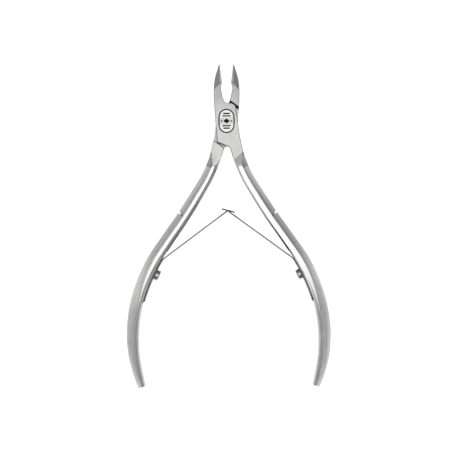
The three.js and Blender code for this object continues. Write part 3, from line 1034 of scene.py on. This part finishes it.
@dataclass
class Emblem:
    """Plain engraving on the front lap: an oval line round a lozenge and short bars.

    Attributes:
        half_width: Half the oval's outer width.
        half_height: Half its outer height.
        line: Width of the engraved line.
        depth: Depth of the engraving.
        centre: Middle of the oval, from the pivot.
        lozenge: Half width and half height of the lozenge.
        bars: Place on the oval, half length and thickness of each bar.
    """

    half_width: float = 2.78 * MM
    half_height: float = 4.22 * MM
    line: float = 0.44 * MM
    depth: float = 0.12 * MM
    centre: Point = (-0.12 * MM, 0.25 * MM)
    lozenge: Point = (1.2 * MM, 0.85 * MM)
    bars: tuple[tuple[float, float, float, float], ...] = (
        (0, 2.6 * MM, 1.15 * MM, 0.5 * MM),
        (0, 1.75 * MM, 1.5 * MM, 0.45 * MM),
        (-1.72 * MM, 0, 0.28 * MM, 0.5 * MM),
        (1.72 * MM, 0, 0.28 * MM, 0.5 * MM),
        (0, -1.65 * MM, 1.5 * MM, 0.45 * MM),
        (0, -2.5 * MM, 1.15 * MM, 0.5 * MM),
    )

    def _oval(self, shrink: float) -> Outline:
        """Points of the oval, drawn in by a distance.

        Args:
            shrink: Distance inside the outer oval.

        Returns:
            x, y and kind of each point.
        """
        w, h = self.half_width - shrink, self.half_height - shrink
        straight = self.half_height - self.half_width
        cx, cy = self.centre
        points = [
            (math.cos(a) * w, math.sin(a) * w + math.copysign(straight, math.sin(a)) * h / (w + straight))
            for a in (math.radians(d) for d in range(8, 360, 15))
        ]
        return [(cx + x, cy + y, "AUTO") for x, y in points]

    def holds(self, point: Vector) -> bool:
        """Whether a point lies inside the oval."""
        x, y = point[0] - self.centre[0], point[1] - self.centre[1]
        straight = self.half_height - self.half_width
        beyond = max(abs(y) - straight, 0.0)
        return math.hypot(x, beyond) < self.half_width - self.line + 0.03 * MM

    def engrave(self, half: Piece) -> None:
        """Cut the lines into the front lap.

        Args:
            half: The front half.
        """
        top = FITS.thickness / 2
        low, high = top - self.depth, top + MM
        cx, cy = self.centre
        carve(half, plate("oval_line", [self._oval(0), self._oval(self.line)], low, high, 2), ENGRAVED)
        w, h = self.lozenge
        corners = [(cx - w, cy), (cx, cy + h), (cx + w, cy), (cx, cy - h)]
        carve(half, plate("lozenge", [[(x, y, "VECTOR") for x, y in corners]], low, high, 1), ENGRAVED)
        for x, y, reach, width in self.bars:
            bar = block("bar", (2 * reach, width, high - low), (cx + x, cy + y, (low + high) / 2))
            ease_edges(bar, 0.08 * MM, 60, 1)
            carve(half, bar, ENGRAVED)


@dataclass(frozen=True)
class Slopes:
    """How upright the normal of each kind of face is, as its height or its share of one.

    Attributes:
        level: Least on the level faces of the laps.
        facet: Least and most on the jaw's facets.
        broken: Least on the head's eased edges.
        ridge: Least on the grip's ridge.
        inward: Least share towards the other jaw on the jaw's inner face.
    """

    level: float = 0.9995
    facet: Point = (0.3, 0.985)
    broken: float = 0.1
    ridge: float = 0.93
    inward: float = 0.75


@dataclass
class Halves:
    """The two forgings: each is one jaw, one lap and one handle.

    Attributes:
        front_bar: The front half's handle, whose flat is polished wider.
        back_bar: The back half's handle.
        head: The jaw and lap.
        emblem: The engraving on the front half.
        nick_share: Place of the nick on the handle's line.
        nick_depth: Its depth.
        nick_mouth: Half its width at the surface.
        nick_lean: How far its bottom lies towards the handle's end.
        nick_waist: Its size in the middle of the handle, as a share of that at the surface.
        slopes: What tells the faces apart.
        skin: Depth under the joint's faces at which a face still counts as lying on them.
        facets_above: Height above which sloping faces are the jaw's facets.
        slits: Widths of the strips beside the upper and lower shoulders that get painted shade.
        root: Height below which the side faces belong to the grip.
        lap_end: Height below which no face belongs to a lap.
        inner_light: Height below which the front half's inner flank gets painted light instead of painted
            shade.
        runout: Two points of the line where the front half's lap runs out into the handle.
    """

    front_bar: GripBar = field(default_factory=lambda: GripBar(flat_end=-0.78))
    back_bar: GripBar = field(default_factory=GripBar)
    head: Head = field(default_factory=Head)
    emblem: Emblem = field(default_factory=Emblem)
    nick_share: float = 0.325
    nick_depth: float = 2.6 * MM
    nick_mouth: float = 0.85 * MM
    nick_lean: float = 0.85 * MM
    nick_waist: float = 0.76
    slopes: Slopes = Slopes()
    skin: float = 0.01 * MM
    facets_above: float = 11 * MM
    slits: Point = (0.75 * MM, 0.38 * MM)
    root: float = -11.5 * MM
    lap_end: float = -20 * MM
    inner_light: float = -46 * MM
    runout: tuple[Point, Point] = ((2.3 * MM, -13.3 * MM), (4.95 * MM, -10.8 * MM))

    def build(self, datum: Matrix) -> dict[str, Piece]:
        """Build both halves.

        Args:
            datum: Place of the pivot in the frame.

        Returns:
            The halves by name.
        """
        front, back = self._forge(self.front_bar), self._forge(self.back_bar)
        front.name, back.name = "front_half_steel", "back_half_steel"
        self.emblem.engrave(front)
        self._mark_runout(front)
        put(back, TURN_OVER)
        hole = FITS.pivot_profile(FITS.clearance, -FITS.thickness)
        for half in (front, back):
            carve(half, lathe("pivot_hole", hole), MILLED)
        for half, turned, front_side in ((front, Matrix.Identity(4), True), (back, TURN_OVER, False)):
            shade(half, 19.0)
            self._dress(half, turned, front_side)
            put(half, datum)
        return {"front_half": front, "back_half": back}

    def _forge(self, bar: GripBar) -> Piece:
        """Join the bar and the head, and make the cuts that both halves share.

        Args:
            bar: The half's handle.

        Returns:
            One forging, drawn as the front half.
        """
        forging = self.head.build()
        combine(forging, bar.build(), "UNION")
        close_up(forging)
        carve(forging, self._channel())
        # The nick's walls get painted shade.
        carve(forging, self._nick(), NICK_CUT_SHADE)
        carve(forging, self._seat(), MILLED)
        carve(forging, self._screw_hole(), MILLED)
        return forging

    def _channel(self) -> Piece:
        """Cutter of the channel in which the other half's lap turns.

        Returns:
            The cutter, with the finish of each part of the cut.
        """
        up, down = FITS.lap_up, -FITS.lap_down
        size = (FAR, up - down, FAR)
        channel = block("lap_channel", size, (0, (up + down) / 2, FITS.lap_gap / 2 - FAR / 2))
        edit_all(channel)
        top, bottom = up - self.slits[0], down + self.slits[1]
        for y in (top, bottom):
            bpy.ops.mesh.select_all(action="SELECT")
            bpy.ops.mesh.bisect(plane_co=(0, y, 0), plane_no=(0, 1, 0), threshold=TINY)
        leave_edit()
        channel.data.materials.append(LAP_FLOOR.material())
        channel.data.materials.append(LAP_SLIT_SHADE.material())
        # Painted shade on the walls and the floor strips beside the shoulders.
        for face in channel.data.polygons:
            face.material_index = int(not bottom < face.center.y < top)
        edit_all(channel)
        turn(math.radians(90 - FITS.lap_angle), "Z", ORIGIN)
        leave_edit()
        return channel

    def _mark_runout(self, front: Piece) -> None:
        """Part the front's flat where the handle's grinding runs out into it.

        Args:
            front: The front half, about the pivot.
        """
        (x0, y0), (x1, y1) = self.runout
        only(front)
        bpy.ops.object.mode_set(mode="EDIT")
        bpy.ops.mesh.select_mode(type="FACE")
        bpy.ops.mesh.select_all(action="DESELECT")
        leave_edit()
        for face in front.data.polygons:
            on_top = face.center.z > FITS.thickness / 2 - self.skin
            face.select = on_top and face.normal.z > self.slopes.level
        bpy.ops.object.mode_set(mode="EDIT")
        across = Vector((y1 - y0, x0 - x1, 0)).normalized()
        bpy.ops.mesh.bisect(plane_co=(x0, y0, 0), plane_no=across, threshold=TINY)
        bpy.ops.mesh.select_mode(type="VERT")
        leave_edit()

    def _nick(self) -> Piece:
        """Wedge that cuts the nick into the handle's outer side.

        It narrows towards the middle of the handle, so that its walls show from both sides.

        Returns:
            The cutter.
        """
        place = LINE.at(self.nick_share)
        along = Vector((place.outward.y, -place.outward.x, 0.0))
        mouth = place.centre + place.outward * (place.half_width + self.nick_depth)
        bottom = place.centre + place.outward * (place.half_width - self.nick_depth)
        corners = [
            mouth - along * (2 * self.nick_mouth + self.nick_lean),
            mouth + along * (2 * self.nick_mouth - self.nick_lean),
            bottom + along * self.nick_lean,
        ]
        outline = [(p.x, p.y, "VECTOR") for p in corners]
        reach = FITS.thickness / 2 + 0.1 * MM
        cutter = plate("nick", [outline], -reach, reach, 1)
        edit_all(cutter)
        bpy.ops.mesh.bisect(plane_co=(0, 0, 0), plane_no=(0, 0, 1), threshold=TINY)
        scale = (self.nick_waist, self.nick_waist, 1.0)
        bpy.ops.transform.resize(value=scale, center_override=mouth)
        leave_edit()
        return cutter

    def _seat(self) -> Piece:
        """Cutter of the shallow seat for the spring's foot.

        Returns:
            The cutter.
        """
        start, end = FITS.bend - FITS.seat_above, FITS.foot_end + FITS.seat_below
        deep = LINE.row(start, end, -FITS.seat_depth)
        clear = LINE.row(start, end, FITS.leaf)
        points = [(p.x, p.y, "VECTOR") for p in [*deep, *reversed(clear)]]
        return plate("seat", [points], -FITS.thickness, FITS.thickness, 1)

    def _screw_hole(self) -> Piece:
        """Cutter of the blind hole for the spring's screw.

        Returns:
            The cutter.
        """
        radius = FITS.spring_shank + FITS.clearance
        deep = FITS.leaf + FITS.seat_gap + FITS.spring_shank_depth + FITS.clearance
        hole = lathe("screw_hole", [(0, -deep), (radius, -deep), (radius, 0), (0, 0)], 24)
        return put(hole, FITS.screw_matrix())

    def _dress(self, half: Piece, turned: Matrix, front_side: bool) -> None:
        """Give each face the finish of its place.

        Args:
            half: The half, about the pivot.
            turned: What carries the front forging to this half.
            front_side: Whether this is the front half.
        """
        mesh = half.data
        back = turned.inverted()
        wanted = [LAP_SATIN, JAW_SIDE, JAW_FACET, EDGE_GROUND, FLANK_BRUSHED, INNER_PAINTED_LIT]
        wanted += [INNER_PAINTED_SHADE, RIDGE_POLISHED, EMBLEM_FIELD, LAP_RUNOUT, LAP_EDGE_SHADE]
        kept = {i: m for i, m in enumerate(mesh.materials) if m is not None}
        slots = {f.name: len(mesh.materials) + i for i, f in enumerate(wanted)}
        for finish in wanted:
            mesh.materials.append(finish.material())
        cut_names = {f.name for f in (MILLED, NICK_CUT_SHADE, ENGRAVED, LAP_FLOOR, LAP_SLIT_SHADE)}
        for face in mesh.polygons:
            if face.material_index in kept and kept[face.material_index].name in cut_names:
                continue
            centre, normal = back @ face.center, back.to_3x3() @ face.normal
            finish = self._finish_of(centre, normal, front_side)
            if finish is LAP_SATIN and front_side and centre.z > 0:
                if all(self.emblem.holds(mesh.vertices[i].co) for i in face.vertices):
                    finish = EMBLEM_FIELD
                elif self._past_runout(centre):
                    finish = LAP_RUNOUT
            face.material_index = slots[finish.name]
        self._lay_grain(mesh, back)

    @staticmethod
    def _lay_grain(mesh: bpy.types.Mesh, back: Matrix, steps: int = 160) -> None:
        """Note where each point lies along, across and above the handle's line.

        Args:
            mesh: The half's mesh.
            back: What carries the half to the front forging.
            steps: Steps along the line.
        """
        grain = mesh.attributes.new(GRAIN_ATTRIBUTE, "FLOAT_VECTOR", "POINT")
        line = [LINE.at(i / steps) for i in range(steps + 1)]
        lengths = [0.0]
        for a, b in zip(line, line[1:]):
            lengths.append(lengths[-1] + (b.centre - a.centre).length)
        for vertex, value in zip(mesh.vertices, grain.data):
            point = back @ vertex.co
            nearest = min(range(len(line)), key=lambda i: (line[i].centre - flat(point)).length_squared)
            across = (flat(point) - line[nearest].centre).dot(line[nearest].outward)
            value.vector = (lengths[nearest], across, point.z)

    def _past_runout(self, point: Vector) -> bool:
        """Whether a point lies on the handle's side of the runout line."""
        (x0, y0), (x1, y1) = self.runout
        return (point.x - x0) * (y1 - y0) - (point.y - y0) * (x1 - x0) > 0

    def _finish_of(self, centre: Vector, normal: Vector, front_side: bool) -> SteelFinish:
        """Finish of a face of the front forging.

        Args:
            centre: Middle of the face.
            normal: Its normal.
            front_side: Whether the half is the front one.

        Returns:
            The finish.
        """
        upright, slopes = abs(normal.z), self.slopes
        if centre.y > self.head.heel_y and normal.x > slopes.inward:
            return EDGE_GROUND
        if centre.y > self.facets_above and slopes.facet[0] < upright < slopes.facet[1]:
            return JAW_FACET
        on_lap = centre.y > self.lap_end and abs(centre.z) > FITS.thickness / 2 - self.skin
        if on_lap and upright > slopes.level:
            return LAP_SATIN
        if centre.y > self.root:
            # The head's eased edges get the painted dark outline.
            return LAP_EDGE_SHADE if upright > slopes.broken else JAW_SIDE
        if upright > slopes.ridge:
            return RIDGE_POLISHED
        nearest = min((LINE.at(i / 40) for i in range(41)), key=lambda p: (p.centre - flat(centre)).length)
        if normal.dot(nearest.outward) <= 0:
            # Painted shade on the front half's inner flank near the joint, painted light elsewhere.
            return INNER_PAINTED_SHADE if front_side and centre.y > self.inner_light else INNER_PAINTED_LIT
        return LAP_RUNOUT if centre.y > LINE.flare_end else FLANK_BRUSHED


# ------------------------------------------------------------------ springs


class LeafEnd(Enum):
    """How a leaf ends where it crosses the other."""

    TONGUE = "tongue"
    SLOTTED = "slotted"


@dataclass
class LeafSpring:
    """One leaf: foot on the handle, bend, arm, and bent end past the crossing.

    Attributes:
        end: Kind of end.
        width: Width at the foot.
        tip_width: Width at the crossing.
        tongue: Width of the tongue.
        tongue_before: Length of the tongue before the crossing.
        cross_head: Width and length of the head on the tongue.
        slot: Width of the slot, and its length before and past the crossing.
        tail: Length and direction of the bent end, in degrees.
        bend_radius: Radius of the bend at the foot.
    """

    end: LeafEnd
    width: float = 4.4 * MM
    tip_width: float = 3.2 * MM
    tongue: float = 1.2 * MM
    tongue_before: float = 3.4 * MM
    cross_head: Point = (2.5 * MM, 1.2 * MM)
    slot: tuple[float, float, float] = (1.8 * MM, 2.6 * MM, 1.7 * MM)
    tail: Point = (1.9 * MM, 164.5)
    bend_radius: float = 0.9 * MM

    @staticmethod
    def _rounded(enter: Vector, knee: Vector, leave: Vector, share: float) -> Vector:
        """Point at a share of the curve that rounds a knee."""
        return enter * (1 - share) ** 2 + knee * 2 * share * (1 - share) + leave * share**2

    def _foot(self) -> list[Vector]:
        """Points along the foot, from its end to short of the bend."""
        short = 0.008
        return LINE.row(FITS.foot_end, FITS.bend + short, FITS.foot_offset(), 10)

    def _bend_point(self) -> Vector:
        """Where the foot's line and the arm's line meet."""
        return LINE.at(FITS.bend).beside(FITS.foot_offset())

    def _path(self) -> list[tuple[Vector, float]]:
        """Points along the leaf's middle with its width at each.

        Returns:
            Points and widths from the foot's end to the tip.
        """
        bend = self._bend_point()
        crossing = Vector((0.0, FITS.crossing, 0.0))
        arm = (crossing - bend).normalized()
        reach = (crossing - bend).length + FITS.leaf / 2
        foot = self._foot()
        path = [(p, self.width) for p in foot]
        enter, leave = foot[-1], bend + arm * self.bend_radius
        path += [(self._rounded(enter, bend, leave, i / 6), self.width) for i in range(1, 6)]
        path += [(bend + arm * s, width) for s, width in self._arm_widths(reach)]
        knee = bend + arm * reach
        length, angle = self.tail
        tail = direction(angle)
        curl = 0.35 * MM
        enter, leave = knee - arm * curl, knee + tail * curl
        path += [(self._rounded(enter, knee, leave, i / 4), self._tail_width()) for i in range(5)]
        return path + self._tail_points(knee, tail, length)

    def _arm_widths(self, reach: float) -> list[Point]:
        """Distance along the arm and width of the leaf there.

        Args:
            reach: Distance of the knee from the bend.

        Returns:
            Distances and widths.
        """
        near, far = self.bend_radius, reach - 0.6 * MM
        narrower = self.tip_width - self.width
        if self.end is LeafEnd.SLOTTED:
            return [(near + (far - near) * i / 8, self.width + narrower * i / 8) for i in range(9)]
        neck = reach - self.tongue_before
        wide = neck - 1 * MM
        rows = [(near + (wide - near) * i / 7, self.width + narrower * i / 7) for i in range(8)]
        mid = (self.tip_width + self.tongue) / 2
        rows += [(neck - 0.6 * MM, mid + 0.5 * MM), (neck - 0.25 * MM, mid - 0.5 * MM), (neck, self.tongue)]
        return [*rows, (far, self.tongue)]

    def _tail_width(self) -> float:
        """Width of the leaf where it turns into its bent end."""
        return self.tip_width if self.end is LeafEnd.SLOTTED else self.tongue

    def _tail_points(self, knee: Vector, tail: Vector, length: float) -> list[tuple[Vector, float]]:
        """Points along the straight of the bent end.

        Args:
            knee: Where it starts.
            tail: Its direction.
            length: Its length.

        Returns:
            Points and widths.
        """
        if self.end is LeafEnd.SLOTTED:
            straight = knee + tail * (length - 0.4 * MM)
            return [(straight, self.tip_width), (knee + tail * length, self.tip_width * 0.75)]
        head, head_length = self.cross_head
        start = length - head_length
        return [
            (knee + tail * (start - 0.05 * MM), self.tongue),
            (knee + tail * (start + 0.12 * MM), head),
            (knee + tail * (length - 0.3 * MM), head),
            (knee + tail * length, head * 0.7),
        ]

    def build(self, name: str) -> Piece:
        """Extrude the strip along its path and cut its holes, drawn as the right leaf.

        Args:
            name: Name of the piece.

        Returns:
            The leaf.
        """
        path = self._path()
        points = [p for p, _ in path]
        headings = [
            math.atan2(*reversed((points[min(i + 1, len(points) - 1)] - points[max(i - 1, 0)]).to_2d()))
            for i in range(len(points))
        ]
        clear_selection()
        bpy.ops.mesh.primitive_plane_add(
            size=1,
            location=points[0],
            rotation=(math.pi / 2, 0, headings[0] + math.pi / 2),
            scale=(1, 1, 1),
        )
        leaf = bpy.context.object
        leaf.name = name
        leaf.scale = (FITS.leaf, path[0][1], 1)
        bpy.ops.object.transform_apply(location=True, rotation=True, scale=True)
        edit_all(leaf)
        for i in range(1, len(path)):
            bpy.ops.mesh.extrude_region_move(TRANSFORM_OT_translate={"value": points[i] - points[i - 1]})
            turn(headings[i] - headings[i - 1], "Z", points[i])
            stretch = path[i][1] / path[i - 1][1]
            bpy.ops.transform.resize(value=(1, 1, stretch), center_override=points[i])
        close_up(leaf)
        self._pierce(leaf)
        ease_edges(leaf, 0.05 * MM, 40, 2)
        leaf.data.materials.clear()
        leaf.data.materials.append(SPRING_STRIP.material())
        return leaf

    def _pierce(self, leaf: Piece) -> None:
        """Cut the screw's hole, and the slot of a slotted leaf.

        Args:
            leaf: The leaf.
        """
        radius = FITS.spring_shank + FITS.clearance
        hole = lathe("foot_hole", [(0, -MM), (radius, -MM), (radius, MM), (0, MM)], 24)
        carve(leaf, put(hole, FITS.screw_matrix()))
        if self.end is LeafEnd.TONGUE:
            return
        width, before, past = self.slot
        bend = self._bend_point()
        arm = Vector((0.0, FITS.crossing, 0.0)) - bend
        reach = arm.length
        clear_selection()
        bpy.ops.mesh.primitive_cube_add(size=1)
        cutter = bpy.context.object
        cutter.scale = (before + past, 6 * MM, width)
        bpy.ops.object.transform_apply(scale=True)
        edit_all(cutter)
        bpy.ops.transform.translate(value=(reach + (past - before) / 2, 0, 0))
        turn(math.atan2(arm.y, arm.x), "Z", ORIGIN)
        bpy.ops.transform.translate(value=bend)
        leave_edit()
        carve(leaf, cutter)


@dataclass
class BentLeaf:
    """A finished leaf and the stretch of it that bends.

    Attributes:
        strip: The leaf.
        start: Where the stretch starts, at the foot.
        end: Where it ends, on the arm.
    """

    strip: Piece
    start: Vector
    end: Vector


@dataclass
class Springs:
    """The two crossed leaves.

    Attributes:
        right: The right leaf, with the tongue.
        left: The left leaf, with the slot, drawn on the right and turned over.
        flex: Length of leaf that bends when the tool closes.
    """

    right: LeafSpring = field(default_factory=lambda: LeafSpring(LeafEnd.TONGUE))
    left: LeafSpring = field(default_factory=lambda: LeafSpring(LeafEnd.SLOTTED, tail=(2.4 * MM, 198.4)))
    flex: float = 1.6 * MM

    def build(self, datum: Matrix) -> dict[str, BentLeaf]:
        """Build both leaves.

        Args:
            datum: Place of the pivot in the frame.

        Returns:
            The leaves by side.
        """
        bend = LINE.at(FITS.bend).beside(FITS.foot_offset())
        arm = (Vector((0.0, FITS.crossing, 0.0)) - bend).normalized()
        made = {}
        sides = (("right", self.right, Matrix.Identity(4)), ("left", self.left, TURN_OVER))
        for side, leaf, turned in sides:
            strip = leaf.build(f"{side}_spring_leaf")
            place = datum @ turned
            half = arm * self.flex / 2
            made[side] = BentLeaf(put(strip, place), place @ (bend - half), place @ (bend + half))
        return made


# ------------------------------------------------------------------ screws


@dataclass
class SpringScrew:
    """Cheese-head screw on a spring's foot.

    Attributes:
        radius: Radius of the head.
        height: Height of the head.
        rim: Rounding of the head's rim.
        slot_width: Width of the slot.
        slot_depth: Depth of the slot.
    """

    radius: float = 1.85 * MM
    height: float = 1.45 * MM
    rim: float = 0.35 * MM
    slot_width: float = 0.5 * MM
    slot_depth: float = 0.5 * MM

    def build(self) -> Piece:
        """Turn the screw, then saw its slot.

        Returns:
            The screw, drawn on the right handle.
        """
        deep = FITS.leaf + FITS.seat_gap + FITS.spring_shank_depth
        r, h, c = self.radius, self.height, self.rim
        profile = [(0, -deep), (FITS.spring_shank - 0.2 * MM, -deep), (FITS.spring_shank, 0.2 * MM - deep)]
        profile += [(FITS.spring_shank, 0), (r - 0.12 * MM, 0), (r, 0.12 * MM)]
        rim = (0, 0.4, 0.8, 1.2, math.pi / 2)
        profile += [(r - c + c * math.cos(a), h - c + c * math.sin(a)) for a in rim] + [(0, h)]
        screw = lathe("right_spring_screw_steel", profile)
        slot = block("slot", (3 * r, self.slot_width, 2 * self.slot_depth), (0, 0, h), 18.0)
        carve(screw, slot, MILLED)
        ease_edges(screw, 0.05 * MM, 45, 2)
        screw.data.materials[0] = SCREW_TURNED.material()
        return put(screw, FITS.screw_matrix())


@dataclass
class PivotScrew:
    """Slotted countersunk screw through the joint, put in from the back.

    Attributes:
        slot_width: Width of the slot.
        slot_depth: Depth of the slot.
        slot_angle: Direction of the slot, in degrees.
        sunk: How far the head lies under the tool's back.
    """

    slot_width: float = 0.55 * MM
    slot_depth: float = 0.45 * MM
    slot_angle: float = 35.0
    sunk: float = 0.02 * MM

    def build(self) -> Piece:
        """Turn the screw, then saw its slot.

        Returns:
            The screw, about the pivot.
        """
        top = -FITS.thickness / 2 + self.sunk
        screw = lathe("pivot_screw_steel", FITS.pivot_profile(0.0, top), 64)
        reach = 3 * FITS.pivot_head
        slot = block("slot", (reach, self.slot_width, 2 * self.slot_depth), (0, 0, top), self.slot_angle)
        carve(screw, slot, MILLED)
        ease_edges(screw, 0.06 * MM, 35, 2)
        screw.data.materials[0] = SCREW_TURNED.material()
        return screw


# ------------------------------------------------------------------ stage


@dataclass
class Studio:
    """Pale table, soft lights and the camera.

    Attributes:
        aim: Point under the camera, from the pivot.
        distance: Camera to the mid-plane.
        lens: Focal length in millimetres.
        roll: Roll of the camera about its view, in degrees.
        zenith: Grey of the room overhead.
        horizon: Grey of the room level with the table.
        table: Reflectance of the table.
        glow: Light that the table lets through from below.
    """

    aim: Point = (-0.96 * MM, -35.9 * MM)
    distance: float = 437.5 * MM
    lens: float = 100.0
    roll: float = -0.5
    zenith: float = 0.45
    horizon: float = 0.25
    table: float = 0.3
    glow: float = 1.0

    def build(self, datum: Matrix) -> None:
        """Set the table, the lights and the camera.

        Args:
            datum: Place of the pivot in the frame.
        """
        self._table()
        self._room()
        self._softbox("overhead_softbox", (0.0, 0.0, 0.9), (0.62, 0.62), 1.3)
        self._softbox("side_softbox", (-0.75, 0.35, 0.5), (0.35, 0.5), 1.2)
        self._camera(datum)

    def _table(self) -> None:
        """Lay the pale table."""
        clear_selection()
        bpy.ops.mesh.primitive_plane_add(size=4.0, location=(0, 0, -0.05 * MM))
        table = bpy.context.object
        table.name = "table"
        paper = bpy.data.materials.new("pale_table")
        paper.use_nodes = True
        surface = {
            "Base Color": (self.table, self.table, self.table, 1.0),
            "Roughness": 0.9,
            "Specular IOR Level": 0.1,
            "Emission Color": (1.0, 1.0, 1.0, 1.0),
            "Emission Strength": self.glow,
        }
        fill(paper.node_tree, paper.node_tree.nodes["Principled BSDF"], surface)
        table.data.materials.append(paper)

    def _room(self) -> None:
        """Light the room softly, brighter overhead."""
        world = bpy.data.worlds.new("room")
        world.use_nodes = True
        tree = world.node_tree
        around = add_node(tree, "ShaderNodeTexCoord", {}).outputs["Generated"]
        height = add_node(tree, "ShaderNodeSeparateXYZ", {"Vector": around}).outputs["Z"]
        span = {"To Min": self.horizon, "To Max": self.zenith, "Value": height}
        level = add_node(tree, "ShaderNodeMapRange", span)
        fill(tree, tree.nodes["Background"], {"Color": level.outputs["Result"]})
        bpy.context.scene.world = world
        bpy.context.scene.view_settings.view_transform = "Standard"

    def _softbox(self, name: str, place: Sequence[float], size: Point, radiance: float) -> None:
        """Hang a softbox that faces the tool.

        Args:
            name: Name of the light.
            place: Where it hangs.
            size: Its width and height.
            radiance: How bright its face is.
        """
        light = bpy.data.lights.new(name, "AREA")
        light.shape = "RECTANGLE"
        light.size, light.size_y = size
        light.energy = radiance * math.pi * size[0] * size[1]
        hung = bpy.data.objects.new(name, light)
        hung.location = place
        hung.rotation_euler = (-Vector(place)).to_track_quat("-Z", "Y").to_euler()
        bpy.context.scene.collection.objects.link(hung)

    def _camera(self, datum: Matrix) -> None:
        """Look straight down on the tool.

        Args:
            datum: Place of the pivot in the frame.
        """
        camera = bpy.data.cameras.new("camera")
        camera.lens = self.lens
        camera.sensor_width = 36.0
        camera.clip_start, camera.clip_end = 0.01, 20.0
        looking = bpy.data.objects.new("camera", camera)
        looking.location = datum @ Vector((self.aim[0], self.aim[1], self.distance))
        looking.rotation_euler = (0.0, 0.0, math.radians(self.roll))
        bpy.context.scene.collection.objects.link(looking)
        bpy.context.scene.camera = looking


# ------------------------------------------------------------------ assembly


def stand_in(piece: Piece, body: str, slot: str, *nodes: str) -> None:
    """Let a finished piece stand for CAD nodes and move with a body.

    Args:
        piece: The piece.
        body: The body it rides on.
        slot: The record's material slot; not used.
        *nodes: The CAD nodes it stands for.
    """
    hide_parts(*nodes)
    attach(piece, body)
    LOG.info("%s rides on %s and stands for %s", piece.name, body, ", ".join(nodes))


def main() -> None:
    """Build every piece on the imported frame."""
    logging.basicConfig(level=logging.INFO, format="%(name)s: %(message)s")
    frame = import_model()
    pivot = next(joint for joint in frame["joints"] if joint["name"] == "pivot")
    datum = Matrix.Translation(Vector(pivot["pos_m"]))

    halves = Halves().build(datum)
    stand_in(halves["front_half"], "front", "satin_steel", "front_half")
    stand_in(halves["back_half"], "back", "satin_steel", "back_half")

    stand_in(put(PivotScrew().build(), datum), "front", "screw_steel", "pivot_screw")
    right_screw = SpringScrew().build()
    left_screw = copy_of(right_screw, "left_spring_screw_steel")
    stand_in(put(right_screw, datum), "front", "screw_steel", "right_spring_screw")
    stand_in(put(left_screw, datum @ TURN_OVER), "back", "screw_steel", "left_spring_screw")

    for side, leaf in Springs().build(datum).items():
        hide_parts(f"{side}_spring_foot", f"{side}_spring_arm")
        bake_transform(leaf.strip)

    Studio().build(datum)


if __name__ == "__main__":
    main()
